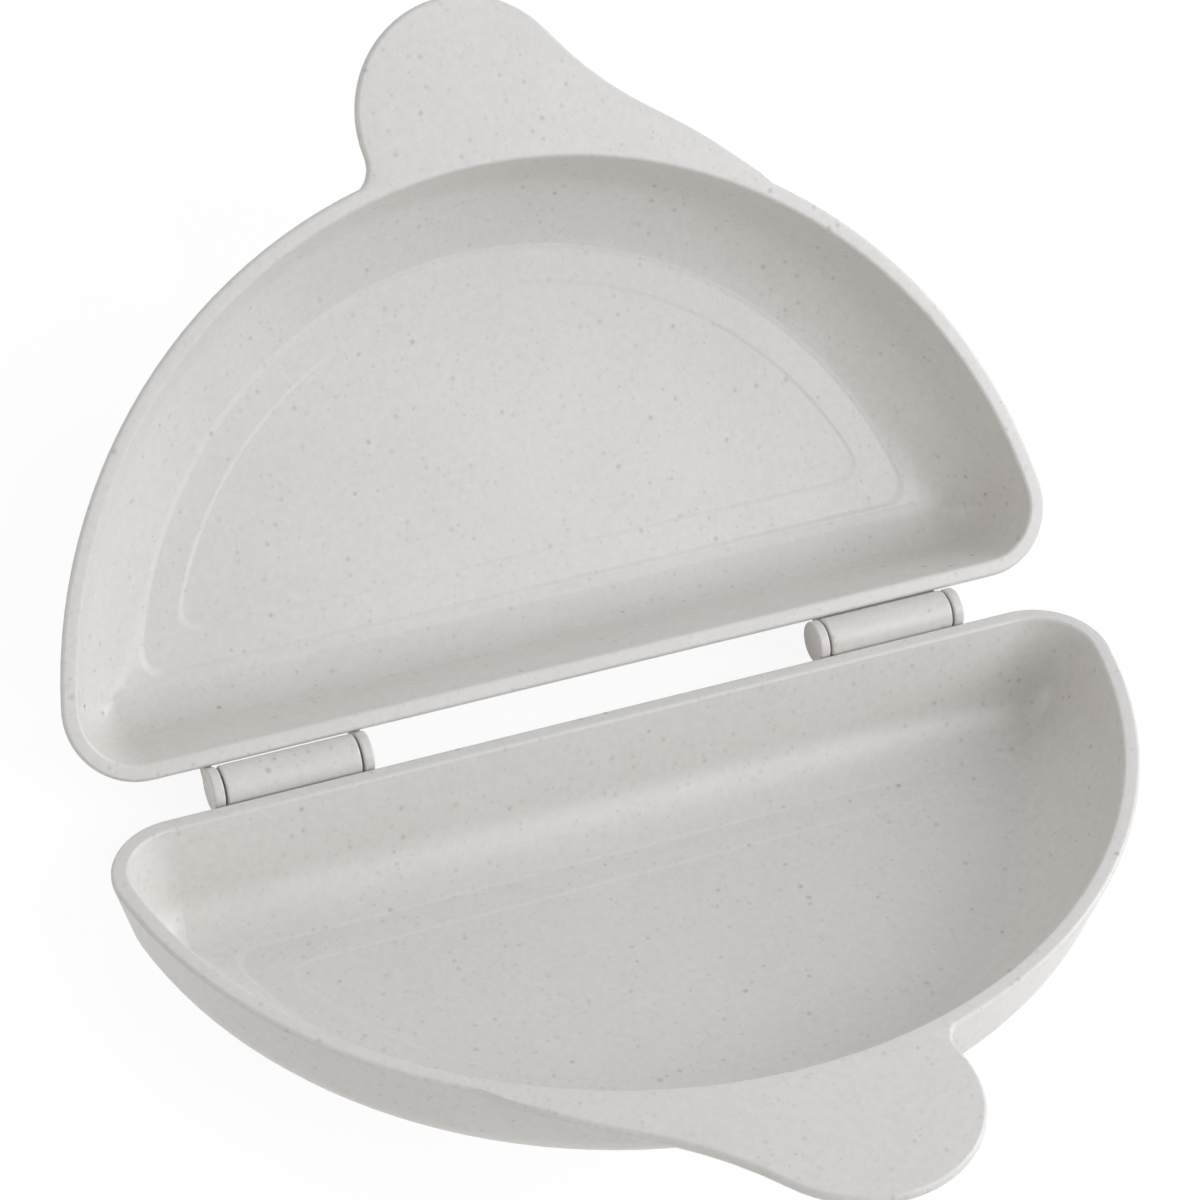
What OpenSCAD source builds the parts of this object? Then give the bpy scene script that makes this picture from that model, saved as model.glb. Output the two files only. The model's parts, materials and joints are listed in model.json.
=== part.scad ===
// Omelet pan for the microwave: two equal D-shaped trays on one snap hinge.
// The hinge axis runs along X. The pan stands open on the rear edges of its trays.

/* [Tray] */
// Outer radius of the round side of the rim
rim_r = 105; // [95:1:115]
// Radius of the two corners of the rim, seen from above
corner_r = 14.4; // [12.5:0.1:16]
// Width of the flat rim, which is the thickness of the wall at its top
rim_w = 3.2; // [2.8:0.1:3.8]
// Outer depth of a tray
depth = 24; // [21:0.5:28]
// Thickness of the floor
floor_t = 2.4; // [2:0.1:3]
// Slope of the walls from the upright, in degrees
draft = 15; // [11:1:17]
// Distance from the rim's outer edge to where the flat floor starts
sole_in = 17.4; // [16.6:0.1:19]
// Rounding of the edges of the rim and the handle
edge_r = 0.8; // [0.5:0.05:1]

/* [Floor panels] */
// Height of the step round the outer floor panel
panel_step = 0.3; // [0.15:0.05:0.4]
// Distance from the rim's outer edge to the outer panel, on the round side
panel_in = 18.8; // [18:0.1:21]
// Distance from the rim's outer edge to the outer panel, on the straight side
panel_back_in = 16.3; // [15.8:0.1:18]
// Distance between the outlines of the outer and the inner panel
panel_gap = 7.4; // [5:0.1:12]
// Height of the step round the inner panel
inner_step = 0.15; // [0.1:0.05:0.3]

/* [Handle] */
// Thickness of the handle
handle_t = 2.2; // [1.8:0.1:3]
// Radius of the round end of the handle
lobe_r = 23; // [20:0.5:25]
// Sideways place of the middle of the round end
lobe_x = 1.2; // [-1:0.1:4]
// Distance of the middle of the round end outside the rim
lobe_out = 7; // [4:0.5:11]
// Radius of the long shoulder that leads from the rim to the handle
shoulder_r = 106.5; // [95:0.5:115]
// Where the shoulder leaves the rim: its bearing from the middle of the straight edge
shoulder_at = -126.629; // [-129:0.001:-124]
// Angle between the shoulder and the rim there
shoulder_splay = 15.431; // [13:0.001:18]
// Radius of the hollow between the shoulder and the round end
hollow_r = 73; // [60:1:90]
// Radius of the short hollow on the other side of the handle
root_r = 6; // [4:0.5:8]

/* [Hinge] */
// Angle between the two trays as the pan stands open
open_angle = 125; // [110:1:140]
// Distance from the straight edge of the rim back to the hinge axis
axis_back = 4.5; // [4.5:0.1:5.5]
// Gap that stays between the two rims when the pan is shut
shut_gap = 0.3; // [0.2:0.05:0.6]
// Outer radius of the hinge knuckles
knuckle_r = 4.1; // [3.6:0.1:4.1]
// Distance from the middle of the pan to the middle of each hinge
hinge_mid = 63.4; // [55:0.5:68]
// Length of the long knuckle of each hinge
barrel_len = 26.2; // [20:0.2:30]
// Thickness of the two short knuckles that hold it
ear_t = 2.2; // [1.8:0.1:3]
// Gap at each end of the long knuckle
side_gap = 0.8; // [0.4:0.1:1.2]
// Radius of the moulded pins
pin_r = 1.8; // [1.4:0.1:2.2]
// Play between a pin and its socket, on the radius
pin_play = 0.06; // [0.02:0.01:0.09]

/* [Hidden] */
$fn = 96;

shell_color = [0.84, 0.83, 0.81];
td = tan(draft);
sd = sin(draft);
cd = cos(draft);
// the sloping outer wall line meets the rim plane this far outside the rounded edge
flare = edge_r * (1 + sd) / cd - edge_r;
inner_drop = depth - floor_t;
rear_tilt = (180 - open_angle) / 2;
corner_x = sqrt(pow(rim_r - corner_r, 2) - pow(corner_r, 2));
corner_a = -asin(corner_r / (rim_r - corner_r));
above = 2;
wide = rim_r + 30;

// The handle's outline is a chain of circles that meet tangentially.
lobe_c = [lobe_x, -rim_r - lobe_out];
leave_r = rim_r - rim_w / 2;
shoulder_from = shoulder_at - shoulder_splay;
shoulder_c = leave_r * [cos(shoulder_at), sin(shoulder_at)]
    - shoulder_r * [cos(shoulder_from), sin(shoulder_from)];
hollow_c = outer_touch(lobe_c, lobe_r, shoulder_c, shoulder_r, hollow_r, -1);
root_c = outer_touch(lobe_c, lobe_r, [0, 0], rim_r - 0.6, root_r, 1);
join_r = rim_r - 0.75 * rim_w;
handle_drop = 0.05;

knuckle_edge = 0.5;
web_drop = 1.5;
web_slope = 20;
web_step = 0.4;
pin_len = 2.2;
pin_tip = 0.6;
socket_len = pin_len - side_gap + 0.5;

// Centre of the circle of radius r that touches two others from outside.
function outer_touch(a, ra, b, rb, r, side) =
    let (d = norm(b - a), u = (b - a) / d,
         p = (d * d + pow(ra + r, 2) - pow(rb + r, 2)) / (2 * d),
         h = sqrt(pow(ra + r, 2) - p * p))
    a + p * u + side * h * [u[1], -u[0]];

function bearing(a, b) = atan2(b[1] - a[1], b[0] - a[0]);

// Points along an arc about c, from bearing a to bearing b in n steps, from point first on.
function arc(c, r, a, b, n, first = 0) =
    [for (i = [first:n]) c + r * [cos(a + (b - a) * i / n), sin(a + (b - a) * i / n)]];

// Rounding between a sloping wall and the floor, as points from the wall to the floor.
function fillet(start, drop) =
    let (r = (sole_in - start - drop * td) / tan(45 - draft / 2))
    arc([sole_in, r - drop], r, 180 + draft, 270, 9);

// Upright section of the whole tray as a full body: x runs inward from the rim's edge.
function body_section(reach) =
    concat(arc([edge_r, -edge_r], edge_r, 90, 180 + draft, 4), fillet(-flare, depth),
           [[reach, -depth], [reach, 0]]);

// Upright section of the hollow inside it.
function hollow_section(reach) =
    let (lip = rim_w - edge_r * (1 - sd) / cd)
    concat([[lip, above]], arc([lip, -edge_r], edge_r, 90, draft, 3),
           fillet(rim_w, inner_drop), [[reach, -inner_drop], [reach, above]]);

module section(hollow, reach) {
    polygon(hollow ? hollow_section(reach) : body_section(reach));
}

// The part of the plan outside one corner, opened a little past both tangents.
module corner_wedge() {
    far = corner_r + 6;
    past = 3;
    mid = 45 + corner_a / 2;
    translate([corner_x, -corner_r, -depth - 1])
        linear_extrude(depth + above + 2)
            polygon([0.5 * [cos(mid), sin(mid)], far * [cos(corner_a - past), sin(corner_a - past)],
                     [far, far], far * [-sin(past), cos(past)]]);
}

// One rounded corner: the section turned about the corner's own upright axis.
module corner_turn(hollow) {
    top = hollow ? above : 0;
    translate([corner_x, -corner_r])
        rotate_extrude()
            intersection() {
                translate([corner_r, 0.02]) mirror([1, 0]) section(hollow, sole_in + 2);
                translate([0, -depth - 1]) square([corner_r + 2, depth + 1 + top]);
            }
}

// The D-shaped body: a turned round side cut by a straight rear wall.
module d_form(hollow) {
    difference() {
        intersection() {
            rotate_extrude() translate([rim_r, 0]) mirror([1, 0]) section(hollow, rim_r);
            translate([-wide, 0]) rotate([90, 0, 90])
                linear_extrude(2 * wide) mirror([1, 0]) section(hollow, wide);
        }
        corner_wedge();
        mirror([1, 0, 0]) corner_wedge();
    }
    corner_turn(hollow);
    mirror([1, 0, 0]) corner_turn(hollow);
}

// A shallow D-shaped panel sunk in the floor, with a sloping step round it.
module floor_panel(round_in, back_in, top, step) {
    ramp = step * 3;
    intersection() {
        translate([0, 0, top - step])
            cylinder(h = 2 * step, r1 = rim_r - round_in - ramp, r2 = rim_r - round_in + ramp);
        translate([-wide, 0]) rotate([90, 0, 90]) linear_extrude(2 * wide)
            polygon([[-back_in - ramp, top - step], [-back_in + ramp, top + step],
                     [-wide, top + step], [-wide, top - step]]);
    }
}

// Free side of the handle, anticlockwise from the rim, set in by inset where it is clear of it.
function free_side(inset) = concat(
    arc(shoulder_c, shoulder_r, shoulder_from, shoulder_from + 5, 1),
    arc(shoulder_c, shoulder_r - inset, shoulder_from + 8, bearing(shoulder_c, hollow_c), 3),
    arc(hollow_c, hollow_r + inset, bearing(hollow_c, shoulder_c), bearing(hollow_c, lobe_c), 5, 1),
    arc(lobe_c, lobe_r - inset, bearing(lobe_c, hollow_c), bearing(lobe_c, root_c), 26, 1),
    arc(root_c, root_r + inset, bearing(root_c, lobe_c) + 360, bearing(root_c, [0, 0]) + 25, 5, 1),
    arc(root_c, root_r, bearing(root_c, [0, 0]) + 12, bearing(root_c, [0, 0]), 1));

// The handle: a flat plate whose edges are rounded in small steps all the way round.
module handle() {
    edge = [for (a = [0:45:90]) edge_r * [1 - sin(a), cos(a) - 1]];
    levels = concat(edge, [for (i = [2:-1:0]) [edge[i][0], -handle_t - edge[i][1]]]);
    ways = [for (p = free_side(0)) bearing([0, 0], p)];
    m = len(ways);
    lead = 10;
    step = (ways[m - 1] - ways[lead]) / (m - 1 - lead);
    inner = [for (i = [m - 1:-1:0])
        let (a = i < lead ? ways[i] : ways[lead] + step * (i - lead)) join_r * [cos(a), sin(a)]];
    rings = [for (l = levels)
        [for (p = concat(free_side(l[0]), inner)) [p[0], p[1], l[1] - handle_drop]]];
    n = 2 * m;
    last = (len(rings) - 1) * n;
    polyhedron([for (r = rings) each r],
        concat([for (i = [0:m - 2]) [i, n - 1 - i, n - 2 - i, i + 1]],
               [for (k = [0:n:last - n]) for (i = [0:n - 1])
                   let (j = (i + 1) % n) [k + i, k + j, k + n + j, k + n + i]],
               [for (i = [0:m - 2]) [last + i, last + i + 1, last + n - 2 - i, last + n - 1 - i]]));
}

// One hinge knuckle about the X axis, joined to the rear wall by a web below it.
module knuckle(x, len) {
    translate([x, 0, 0]) rotate([90, 0, 90]) {
        rotate_extrude() {
            square([knuckle_r - knuckle_edge, len]);
            translate([0, knuckle_edge]) square([knuckle_r, len - 2 * knuckle_edge]);
            for (z = [knuckle_edge, len - knuckle_edge])
                translate([knuckle_r - knuckle_edge, z]) circle(knuckle_edge);
        }
        run = knuckle_r * sin(web_slope) + axis_back + 2.6;
        foot = [knuckle_r * sin(web_slope), -knuckle_r * cos(web_slope)];
        translate([0, 0, web_step]) linear_extrude(len - 2 * web_step)
            polygon([[-axis_back - 1.2, -web_drop], [-1.5, -web_drop], foot,
                     foot - run * [1, tan(web_slope)]]);
    }
}

// Moulded pin on the inner side of an ear, pointing along +X.
module pin() {
    rotate([0, 90, 0]) {
        translate([0, 0, -ear_t / 2]) cylinder(h = pin_len - pin_tip + ear_t / 2, r = pin_r);
        translate([0, 0, pin_len - pin_tip]) cylinder(h = pin_tip, r1 = pin_r, r2 = pin_r - pin_tip);
    }
}

module socket() {
    rotate([0, 90, 0]) translate([0, 0, -1]) cylinder(h = socket_len + 1, r = pin_r + pin_play);
}

// Places a shape drawn from the rim's own origin so that the hinge axis is the X axis.
module from_axis() {
    translate([0, -axis_back, -shut_gap / 2]) children();
}

// One tray, level, rim up, with the hinge axis on the X axis and the handle to the front.
module tray() {
    ear_in = barrel_len / 2 + side_gap;
    difference() {
        union() {
            from_axis() union() {
                d_form(false);
                handle();
            }
            knuckle(-hinge_mid - barrel_len / 2, barrel_len);
            knuckle(hinge_mid - ear_in - ear_t, ear_t);
            knuckle(hinge_mid + ear_in, ear_t);
            translate([hinge_mid - ear_in, 0, 0]) pin();
            translate([hinge_mid + ear_in, 0, 0]) mirror([1, 0, 0]) pin();
        }
        from_axis() {
            d_form(true);
            floor_panel(panel_in, panel_back_in, -inner_drop, panel_step);
            floor_panel(panel_in + panel_gap, panel_back_in + panel_gap,
                        -inner_drop - panel_step, inner_step);
        }
        translate([-hinge_mid - barrel_len / 2, 0, 0]) socket();
        translate([-hinge_mid + barrel_len / 2, 0, 0]) mirror([1, 0, 0]) socket();
    }
}

// Height of the axis above the ground: the rear rounding's lowest point as the tray tilts.
axis_h = -min([for (p = fillet(-flare, depth))
    (axis_back + p[0]) * sin(rear_tilt) + (p[1] - shut_gap / 2) * cos(rear_tilt)]);

module base() {
    color(shell_color) translate([0, 0, axis_h]) rotate([-rear_tilt, 0, 0]) tray();
}

module lid() {
    color(shell_color) rotate([0, 0, 180]) translate([0, 0, axis_h]) rotate([-rear_tilt, 0, 0]) tray();
}

base();
lid();
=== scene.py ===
import json
import math

import bmesh
import bpy
from mathutils import Matrix, Vector


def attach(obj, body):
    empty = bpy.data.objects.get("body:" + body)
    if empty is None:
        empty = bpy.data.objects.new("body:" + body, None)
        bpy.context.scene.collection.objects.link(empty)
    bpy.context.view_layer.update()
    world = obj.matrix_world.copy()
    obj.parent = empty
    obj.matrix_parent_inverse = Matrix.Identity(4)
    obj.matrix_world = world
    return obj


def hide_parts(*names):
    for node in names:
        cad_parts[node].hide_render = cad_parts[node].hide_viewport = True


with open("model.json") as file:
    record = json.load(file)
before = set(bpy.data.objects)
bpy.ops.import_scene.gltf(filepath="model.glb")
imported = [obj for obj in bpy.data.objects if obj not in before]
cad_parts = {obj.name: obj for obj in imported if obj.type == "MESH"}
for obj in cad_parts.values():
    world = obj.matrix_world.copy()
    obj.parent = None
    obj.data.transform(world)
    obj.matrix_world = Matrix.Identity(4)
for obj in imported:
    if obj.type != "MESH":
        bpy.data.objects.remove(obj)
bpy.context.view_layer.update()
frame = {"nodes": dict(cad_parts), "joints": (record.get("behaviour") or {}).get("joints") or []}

# The hinge axis runs along X at this height, and each tray leans back from level by the tilt.
AXIS_HEIGHT = frame["joints"][0]["pos_m"][2]
TRAY_TILT = math.radians(27.5)

# A tray laid level, in metres. The hinge axis is then the X axis, and the tray lies to its front.
RIM_BELOW_AXIS = 0.00015
REAR_EDGE = -0.0045
RIM_R = 0.105
FLOOR_DEPTH = 0.0216
FLOOR_SPAN = (FLOOR_DEPTH - 8e-5, FLOOR_DEPTH + 6e-4)

# The two panels in the floor: how far inside the rim their step starts, its width and its drop.
OUTER_PANEL = {"inside": 0.0189, "width": 0.0014, "drop": 0.0003, "rings": 7}
INNER_PANEL = {"inside": 0.0260, "width": 0.0011, "drop": 0.00015, "rings": 6}
PANEL_SHIFT = 0.0025
PANEL_CORNER = 0.0065
PANEL_MIDDLE = Vector((0.0, -0.045))
OUTLINE_STEP = 0.0025

# The round wall's foot, as distances inside the rim and depths. Between its bend and its foot the
# wall keeps only a part of its curve, and towards the corners all of it.
WALL_BEND = (0.00566, 0.00918)
WALL_FOOT = (0.0188, 0.0216)
CURVE_KEPT = 0.35
CORNER_TAPER = 0.020

# The knuckles: the radii between which their skin lies, and the two ends of the long one.
KNUCKLE_SKIN = (0.0035, 0.0042)
KNUCKLE_FULLER = 0.00022
BARREL_ENDS = (-0.0765, -0.0503)
BARREL_END_ROUND = 0.00052
BARREL_LONGER = 0.0004

MERGE_BELOW = 2e-6
SHARP_ABOVE = math.radians(52)

# Colours of the straw-filled plastic, as they look in daylight.
SHELL = (217, 213, 208)
SHELL_DIM = (211, 207, 201)
FINE_FLECK = (172, 167, 161)
DARK_FLECK = (136, 128, 121)
TAN_FLECK = (190, 166, 150)

# Flecks: the size in millimetres of the cells that hold them and of the largest one, how many
# cells hold one, how soft their edge is, and how well the faintest shows and the strongest more.
HAZE = {"cell": 1.0, "radius": 0.40, "share": 0.9, "soft": 0.9, "faint": 0.08, "more": 0.20}
FINE = {"cell": 1.6, "radius": 0.52, "share": 0.8, "soft": 0.8, "faint": 0.12, "more": 0.30}
STRAW = {"cell": 2.2, "radius": 0.8, "share": 0.7, "soft": 0.8, "faint": 0.12, "more": 0.42}

WHITE = (255, 255, 255)
DAYLIGHT = (0.955, 0.985, 1.03)
WARM_LIGHT = (1.0, 0.93, 0.86)
SKY_LEVEL = 0.25
SKY_MORE_AT_BACK = 0.80
GROUND = (0.80, 0.78, 0.76, 1.0)
GROUND_GLOW = 1.085
GROUND_SHADOW = 0.16
GROUND_HALF_WIDTH = 6.0

# Soft lamps: place, width and height in metres, power in watts, colour.
LAMPS = {
    "key": ((0.75, -0.62, 1.05), (0.8, 0.8), 7.0, DAYLIGHT),
    "front": ((0.05, -1.25, 0.7), (0.8, 0.8), 3.8, DAYLIGHT),
    "left": ((-1.3, 0.0, 0.55), (0.8, 0.8), 2.6, WARM_LIGHT),
    "right": ((1.3, 0.05, 0.55), (0.8, 0.8), 8.4, DAYLIGHT),
    "strip": ((0.40, -0.13, 1.20), (0.40, 0.05), 0.85, DAYLIGHT),
}
LAMP_AIM = Vector((0.0, 0.0, 0.03))

# The photograph's view, as it is when the front tray lies level.
VIEW_AZIMUTH, VIEW_ELEVATION, VIEW_ROLL = map(math.radians, (-23.71, 38.58, 2.01))
VIEW_DISTANCE = 0.70059
VIEW_AIM = Vector((0.00049, 0.00032, 0.02394))
FOCAL_PIXELS = 3627.59
PHOTO_WIDTH = 1200
SENSOR_WIDTH = 36.0


def paint(rgb):
    """A display colour of 0 to 255 as the linear colour that a shader takes."""
    shares = [c / 255 for c in rgb]
    return tuple(c / 12.92 if c <= 0.04 else ((c + 0.055) / 1.055) ** 2.4 for c in shares) + (1.0,)


class Value:
    """One number in a material. Arithmetic on it adds the Math node that does it."""

    def __init__(self, sheet, socket):
        self.sheet = sheet
        self.socket = socket

    def math(self, operation, *others, clamp=False):
        settings = {"operation": operation, "use_clamp": clamp}
        return self.sheet.add("ShaderNodeMath", settings, dict(enumerate((self,) + others)))

    def __add__(self, other):
        return self.math("ADD", other)

    __radd__ = __add__

    def __mul__(self, other):
        return self.math("MULTIPLY", other)

    __rmul__ = __mul__

    def __sub__(self, other):
        return self.math("SUBTRACT", other)

    def __rsub__(self, other):
        return self.sheet.add("ShaderNodeMath", {"operation": "SUBTRACT"}, {0: other, 1: self})

    def __truediv__(self, other):
        return self.math("DIVIDE", other)

    def __pow__(self, other):
        return self.math("POWER", other)

    def clamped(self):
        return self.math("MULTIPLY", 1.0, clamp=True)


class Sheet:
    """The node sheet of a material or of the surroundings."""

    def __init__(self, owner):
        owner.use_nodes = True
        self.tree = owner.node_tree
        self.tree.nodes.clear()

    def add(self, kind, settings=None, sockets=None, out=0):
        """Adds a node, sets it up, then fills its sockets with values or links."""
        node = self.tree.nodes.new(kind)
        for name, setting in (settings or {}).items():
            setattr(node, name, setting)
        for key, value in (sockets or {}).items():
            if isinstance(value, Value):
                self.tree.links.new(value.socket, node.inputs[key])
            else:
                node.inputs[key].default_value = value
        return Value(self, node.outputs[out]) if node.outputs else None

    def again(self, value, out):
        """Another output of the node that a value came from."""
        return Value(self, value.socket.node.outputs[out])

    def blend(self, factor, a, b):
        return self.add("ShaderNodeMix", {"data_type": "RGBA"}, {0: factor, 6: a, 7: b}, out=2)

    def noise(self, place, scale, detail, roughness):
        sockets = {"Vector": place, "Scale": scale, "Detail": detail, "Roughness": roughness}
        return self.add("ShaderNodeTexNoise", None, sockets, out="Fac")


def flecks(sheet, place, sort):
    """Round flecks strewn through the plastic. Gives the mask of those that the surface cuts, how
    much each one shows, and a random number for each."""
    cell = sheet.add("ShaderNodeTexVoronoi", {"feature": "F1", "voronoi_dimensions": "3D"},
                     {"Vector": place, "Scale": 1000 / sort["cell"]}, out="Distance")
    draw = sheet.again(cell, "Color")
    pick = sheet.add("ShaderNodeSeparateColor", None, {"Color": draw}, out="Red")
    strength = sheet.again(pick, "Green")
    hue = sheet.again(pick, "Blue")
    largest = sort["radius"] / sort["cell"]
    reach = ((pick - (1 - sort["share"])) / sort["share"]).clamped() ** 0.6 * largest
    mask = ((reach - cell) / (sort["soft"] * largest)).clamped()
    return mask, mask * (sort["faint"] + strength * sort["more"]), hue


def straw_plastic():
    """Light warm-grey plastic, satin, with straw flecks of several sizes."""
    material = bpy.data.materials.new("straw_plastic")
    sheet = Sheet(material)
    place = sheet.add("ShaderNodeTexCoord", out="Object")
    drift = sheet.noise(place, 45.0, 3.0, 0.55)
    mottle = sheet.noise(place, 620.0, 2.0, 0.6)
    grain = sheet.noise(place, 2600.0, 1.0, 0.6)

    cloud = ((mottle - 0.5) * 2.4 + (drift - 0.5) * 1.2 + 0.5).clamped()
    color = sheet.blend(cloud, paint(SHELL), paint(SHELL_DIM))
    _, haze_shows, _ = flecks(sheet, place, HAZE)
    color = sheet.blend(haze_shows, color, paint(FINE_FLECK))
    fine, fine_shows, _ = flecks(sheet, place, FINE)
    color = sheet.blend(fine_shows, color, paint(FINE_FLECK))
    straw, straw_shows, hue = flecks(sheet, place, STRAW)
    dark_or_tan = ((hue - 0.5) * 12 + 0.5).clamped()
    color = sheet.blend(straw_shows, color,
                        sheet.blend(dark_or_tan, paint(TAN_FLECK), paint(DARK_FLECK)))

    rough = 0.31 + drift * 0.08 + fine * 0.06 + straw * 0.06
    bump = sheet.add("ShaderNodeBump", None,
                     {"Strength": 0.10, "Distance": 0.0001, "Height": grain})
    surface = sheet.add("ShaderNodeBsdfPrincipled", None,
                        {"Base Color": color, "Roughness": rough, "Normal": bump, "IOR": 1.49})
    sheet.add("ShaderNodeOutputMaterial", None, {"Surface": surface})
    return material


def seen_or_mirrored(sheet):
    """1 on rays that show the surroundings, straight or in a gloss, and 0 on those that light."""
    straight = sheet.add("ShaderNodeLightPath", out="Is Camera Ray")
    mirrored = sheet.again(straight, "Is Glossy Ray") + sheet.again(straight, "Is Transmission Ray")
    return (straight + mirrored).clamped()


def white_ground():
    """Floor that the camera sees as white, with a faint shadow where the pan stands."""
    material = bpy.data.materials.new("white_ground")
    sheet = Sheet(material)
    seen = seen_or_mirrored(sheet)
    glow = sheet.add("ShaderNodeEmission", None, {"Color": paint(WHITE), "Strength": GROUND_GLOW})
    matte = sheet.add("ShaderNodeBsdfDiffuse", None, {"Color": GROUND})
    lit = sheet.add("ShaderNodeMixShader", None, {0: GROUND_SHADOW, 1: glow, 2: matte})
    surface = sheet.add("ShaderNodeMixShader", None, {0: seen, 1: matte, 2: lit})
    sheet.add("ShaderNodeOutputMaterial", None, {"Surface": surface})
    return material


def place_piece(name, shape, material):
    """Makes a bmesh an object at the origin, with one material."""
    mesh = bpy.data.meshes.new(name)
    shape.to_mesh(mesh)
    shape.free()
    mesh.materials.append(material)
    piece = bpy.data.objects.new(name, mesh)
    bpy.context.scene.collection.objects.link(piece)
    return piece


def floor():
    """A wide flat floor just under the pan."""
    shape = bmesh.new()
    bmesh.ops.create_grid(shape, x_segments=1, y_segments=1, size=GROUND_HALF_WIDTH)
    place_piece("floor", shape, white_ground())


def lamp(name, place, size, power, color):
    """A soft lamp at a place, turned towards the pan."""
    light = bpy.data.lights.new(name, "AREA")
    light.shape = "RECTANGLE"
    light.size, light.size_y = size
    light.energy = power
    light.color = color
    holder = bpy.data.objects.new(name, light)
    holder.location = place
    holder.rotation_euler = (Vector(place) - LAMP_AIM).to_track_quat("Z", "Y").to_euler()
    bpy.context.scene.collection.objects.link(holder)


def daylight():
    """White surroundings, as the camera sees them. They light the pan from all round, and most
    from its back."""
    world = bpy.data.worlds.new("studio")
    bpy.context.scene.world = world
    sheet = Sheet(world)
    way = sheet.add("ShaderNodeTexCoord", out="Generated")
    to_back = sheet.add("ShaderNodeSeparateXYZ", None, {0: way}, out="Y")
    level = SKY_LEVEL + to_back.math("MAXIMUM", 0.0) * SKY_MORE_AT_BACK
    fill = sheet.add("ShaderNodeBackground", None, {"Color": DAYLIGHT + (1.0,), "Strength": level})
    white = sheet.add("ShaderNodeBackground", None, {"Color": paint(WHITE)})
    seen = seen_or_mirrored(sheet)
    surface = sheet.add("ShaderNodeMixShader", None, {0: seen, 1: fill, 2: white})
    sheet.add("ShaderNodeOutputWorld", None, {"Surface": surface})


def camera():
    """The photograph's view, set up on the level tray and then tilted with it."""
    back = Vector((math.sin(VIEW_AZIMUTH) * math.cos(VIEW_ELEVATION),
                   -math.cos(VIEW_AZIMUTH) * math.cos(VIEW_ELEVATION),
                   math.sin(VIEW_ELEVATION)))
    right = Vector((0, 0, 1)).cross(back).normalized()
    up = back.cross(right)
    turned_right = right * math.cos(VIEW_ROLL) + up * math.sin(VIEW_ROLL)
    turned_up = up * math.cos(VIEW_ROLL) - right * math.sin(VIEW_ROLL)
    pose = Matrix((turned_right, turned_up, back)).transposed().to_4x4()
    pose.translation = VIEW_AIM + back * VIEW_DISTANCE
    tilt = Matrix.Translation((0, 0, AXIS_HEIGHT)) @ Matrix.Rotation(-TRAY_TILT, 4, "X")
    lens = bpy.data.cameras.new("camera")
    lens.sensor_fit = "HORIZONTAL"
    lens.sensor_width = SENSOR_WIDTH
    lens.lens = SENSOR_WIDTH * FOCAL_PIXELS / PHOTO_WIDTH
    lens.clip_start = 0.05
    lens.clip_end = 20.0
    holder = bpy.data.objects.new("camera", lens)
    holder.matrix_world = tilt @ pose
    bpy.context.scene.collection.objects.link(holder)
    bpy.context.scene.camera = holder


def level_frame(name):
    """Turns a tray's mesh level and rim up, with the hinge axis on the X axis, front to -Y."""
    turn = Matrix.Rotation(math.pi, 4, "Z") if name == "lid" else Matrix.Identity(4)
    drop = Matrix.Translation((0, 0, -AXIS_HEIGHT))
    return Matrix.Rotation(TRAY_TILT, 4, "X") @ drop @ turn


def depth_of(vert):
    """How far a point of the level tray lies below the rim."""
    return -vert.co.z - RIM_BELOW_AXIS


def inside_rim(x, y):
    """How far a point of the floor lies inside the rim. The D's two corners are rounded off, and
    the straight side counts from a little further back, where the panels have their rear edge."""
    round_side = RIM_R - math.hypot(x, y)
    straight_side = PANEL_SHIFT - y
    share = min(max(0.5 + 0.5 * (straight_side - round_side) / PANEL_CORNER, 0.0), 1.0)
    between = straight_side + (round_side - straight_side) * share
    return between - PANEL_CORNER * share * (1 - share)


def floor_depth(inside):
    """Depth of the floor below the rim, with its two shallow panels."""
    depth = FLOOR_DEPTH
    for panel in (OUTER_PANEL, INNER_PANEL):
        t = min(max((inside - panel["inside"]) / panel["width"], 0.0), 1.0)
        depth += panel["drop"] * t * t * (3 - 2 * t)
    return depth


def on_level(start, level):
    """The place that far inside the rim, on the line from the floor's middle to a start."""
    near, far = 0.0, 1.0
    for _ in range(30):
        middle = (near + far) / 2
        at = PANEL_MIDDLE.lerp(start, middle)
        near, far = (middle, far) if inside_rim(at.x, at.y) > level else (near, middle)
    return PANEL_MIDDLE.lerp(start, near)


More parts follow.
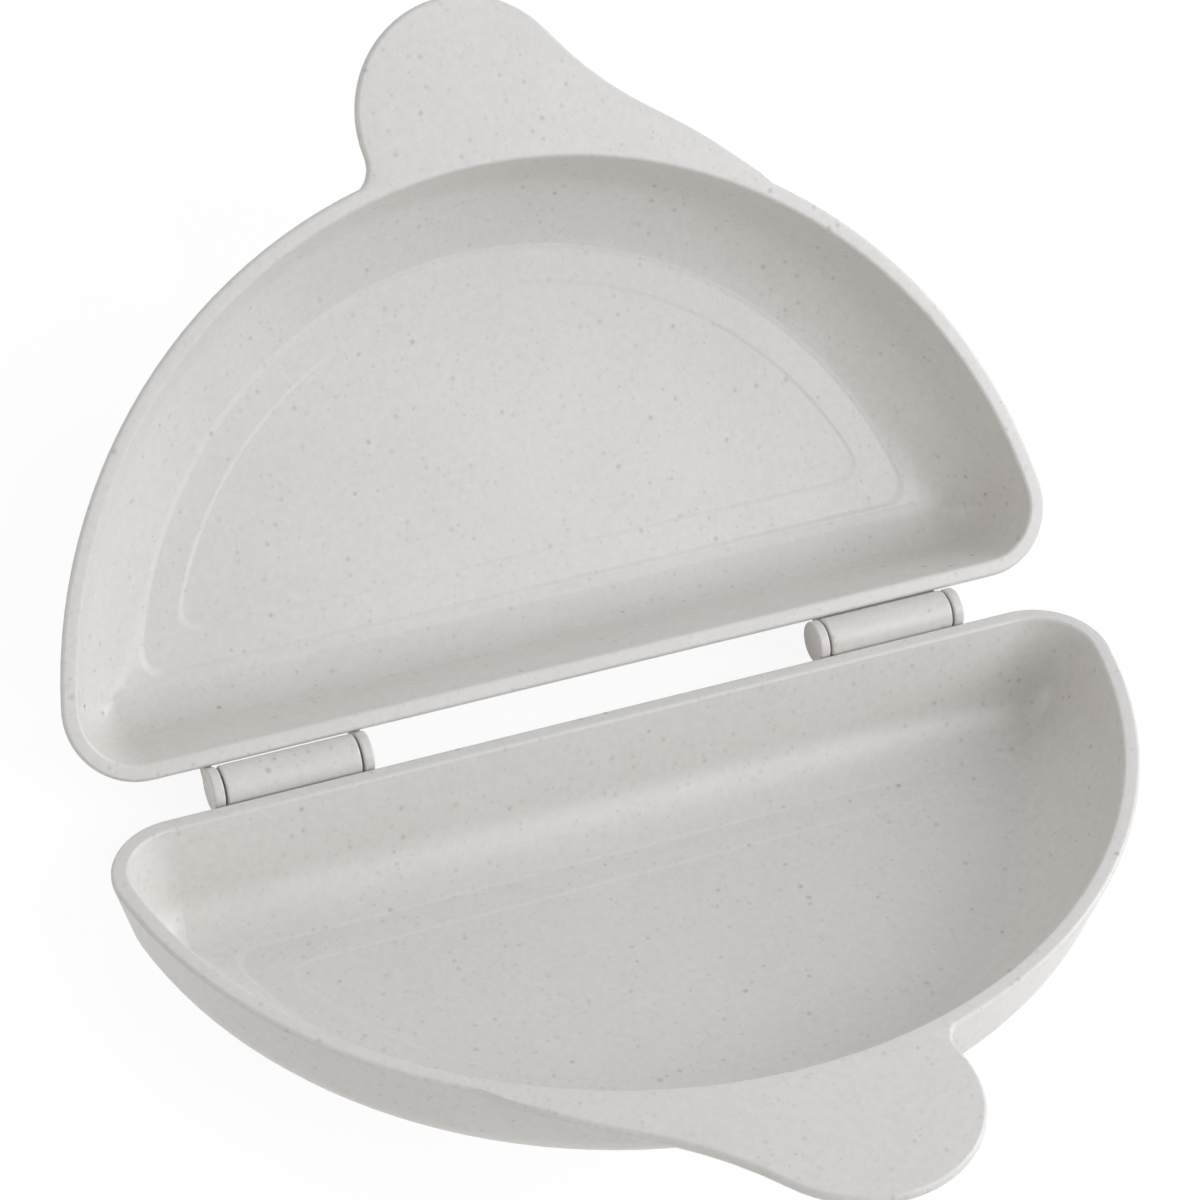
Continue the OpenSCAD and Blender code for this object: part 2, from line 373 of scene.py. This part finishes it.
def soft_floor(shape):
    """Lays the inner floor anew with rounded steps, on the outline where the wall's curve ends."""
    def is_floor(face):
        flat = face.normal.z > 0.9
        return flat and all(FLOOR_SPAN[0] < depth_of(v) < FLOOR_SPAN[1] for v in face.verts)

    outline = [edge for edge in shape.edges
               if len(edge.link_faces) == 2 and sum(is_floor(f) for f in edge.link_faces) == 1]
    for edge in outline:
        cuts = int(edge.calc_length() / OUTLINE_STEP)
        if cuts:
            bmesh.ops.subdivide_edges(shape, edges=[edge], cuts=cuts, use_single_edge=True)
    shape.normal_update()
    bmesh.ops.delete(shape, geom=[f for f in shape.faces if is_floor(f)], context="FACES")

    ring = [edge for edge in shape.edges if len(edge.link_faces) == 1]
    levels = [panel["inside"] + panel["width"] * i / panel["rings"]
              for panel in (OUTER_PANEL, INNER_PANEL) for i in range(panel["rings"] + 1)]
    laid = []
    for level in levels:
        made = bmesh.ops.extrude_edge_only(shape, edges=ring)["geom"]
        ring = [item for item in made if isinstance(item, bmesh.types.BMEdge)]
        laid += [item for item in made if isinstance(item, bmesh.types.BMFace)]
        for vert in [item for item in made if isinstance(item, bmesh.types.BMVert)]:
            at = on_level(Vector((vert.co.x, vert.co.y - REAR_EDGE)), level)
            vert.co = at.x, at.y + REAR_EDGE, -floor_depth(level) - RIM_BELOW_AXIS
    laid += bmesh.ops.holes_fill(shape, edges=ring, sides=0)["faces"]
    shape.normal_update()
    bmesh.ops.reverse_faces(shape, faces=[face for face in laid if face.normal.z < 0])
    shape.normal_update()


def slope_round_wall(shape):
    """Flattens the curve at the foot of the round wall, which then meets the floor at an edge."""
    slope = (WALL_FOOT[1] - WALL_BEND[1]) / (WALL_FOOT[0] - WALL_BEND[0])
    for vert in shape.verts:
        depth = depth_of(vert)
        rear_side = REAR_EDGE - vert.co.y
        inside = RIM_R - math.hypot(vert.co.x, rear_side)
        at_foot = WALL_BEND[0] < inside < WALL_FOOT[0] and depth > WALL_BEND[1]
        if at_foot and vert.normal.z > 0.2:
            straight = WALL_BEND[1] + (inside - WALL_BEND[0]) * slope
            share = min(max((rear_side - inside) / CORNER_TAPER, 0.0), 1.0)
            vert.co.z += (depth - straight) * (1 - CURVE_KEPT) * share
    shape.normal_update()


def fill_out_knuckles(shape):
    """Makes the knuckles a little fuller and the long one a little longer, as the moulding is."""
    for vert in shape.verts:
        radius = math.hypot(vert.co.y, vert.co.z)
        if KNUCKLE_SKIN[0] < radius < KNUCKLE_SKIN[1]:
            vert.co.y *= 1 + KNUCKLE_FULLER / radius
            vert.co.z *= 1 + KNUCKLE_FULLER / radius
        if radius < KNUCKLE_SKIN[1]:
            for end, out in zip(BARREL_ENDS, (-1, 1)):
                if abs(vert.co.x - end) < BARREL_END_ROUND:
                    vert.co.x += out * BARREL_LONGER


def moulded_tray(name, plastic):
    """One tray as the mould leaves it: the small facets of its roundings shade as one curve."""
    shape = bmesh.new()
    shape.from_mesh(frame["nodes"][name].data)
    bmesh.ops.remove_doubles(shape, verts=shape.verts, dist=MERGE_BELOW)
    bmesh.ops.dissolve_degenerate(shape, edges=shape.edges, dist=MERGE_BELOW)
    level = level_frame(name)
    bmesh.ops.transform(shape, matrix=level, verts=shape.verts)
    soft_floor(shape)
    slope_round_wall(shape)
    fill_out_knuckles(shape)
    bmesh.ops.transform(shape, matrix=level.inverted(), verts=shape.verts)
    for face in shape.faces:
        face.smooth = True
        face.material_index = 0
    for edge in shape.edges:
        edge.smooth = edge.is_manifold and edge.calc_face_angle() < SHARP_ABOVE
    piece = place_piece(name + "_shell", shape, plastic)
    even = piece.modifiers.new("even_shading", "WEIGHTED_NORMAL")
    even.mode = "FACE_AREA"
    even.keep_sharp = True
    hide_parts(name)
    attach(piece, name)


camera()
daylight()
for name, settings in LAMPS.items():
    lamp(name, *settings)
floor()

plastic = straw_plastic()
for name in frame["nodes"]:
    moulded_tray(name, plastic)

bpy.context.scene.view_settings.view_transform = "Standard"
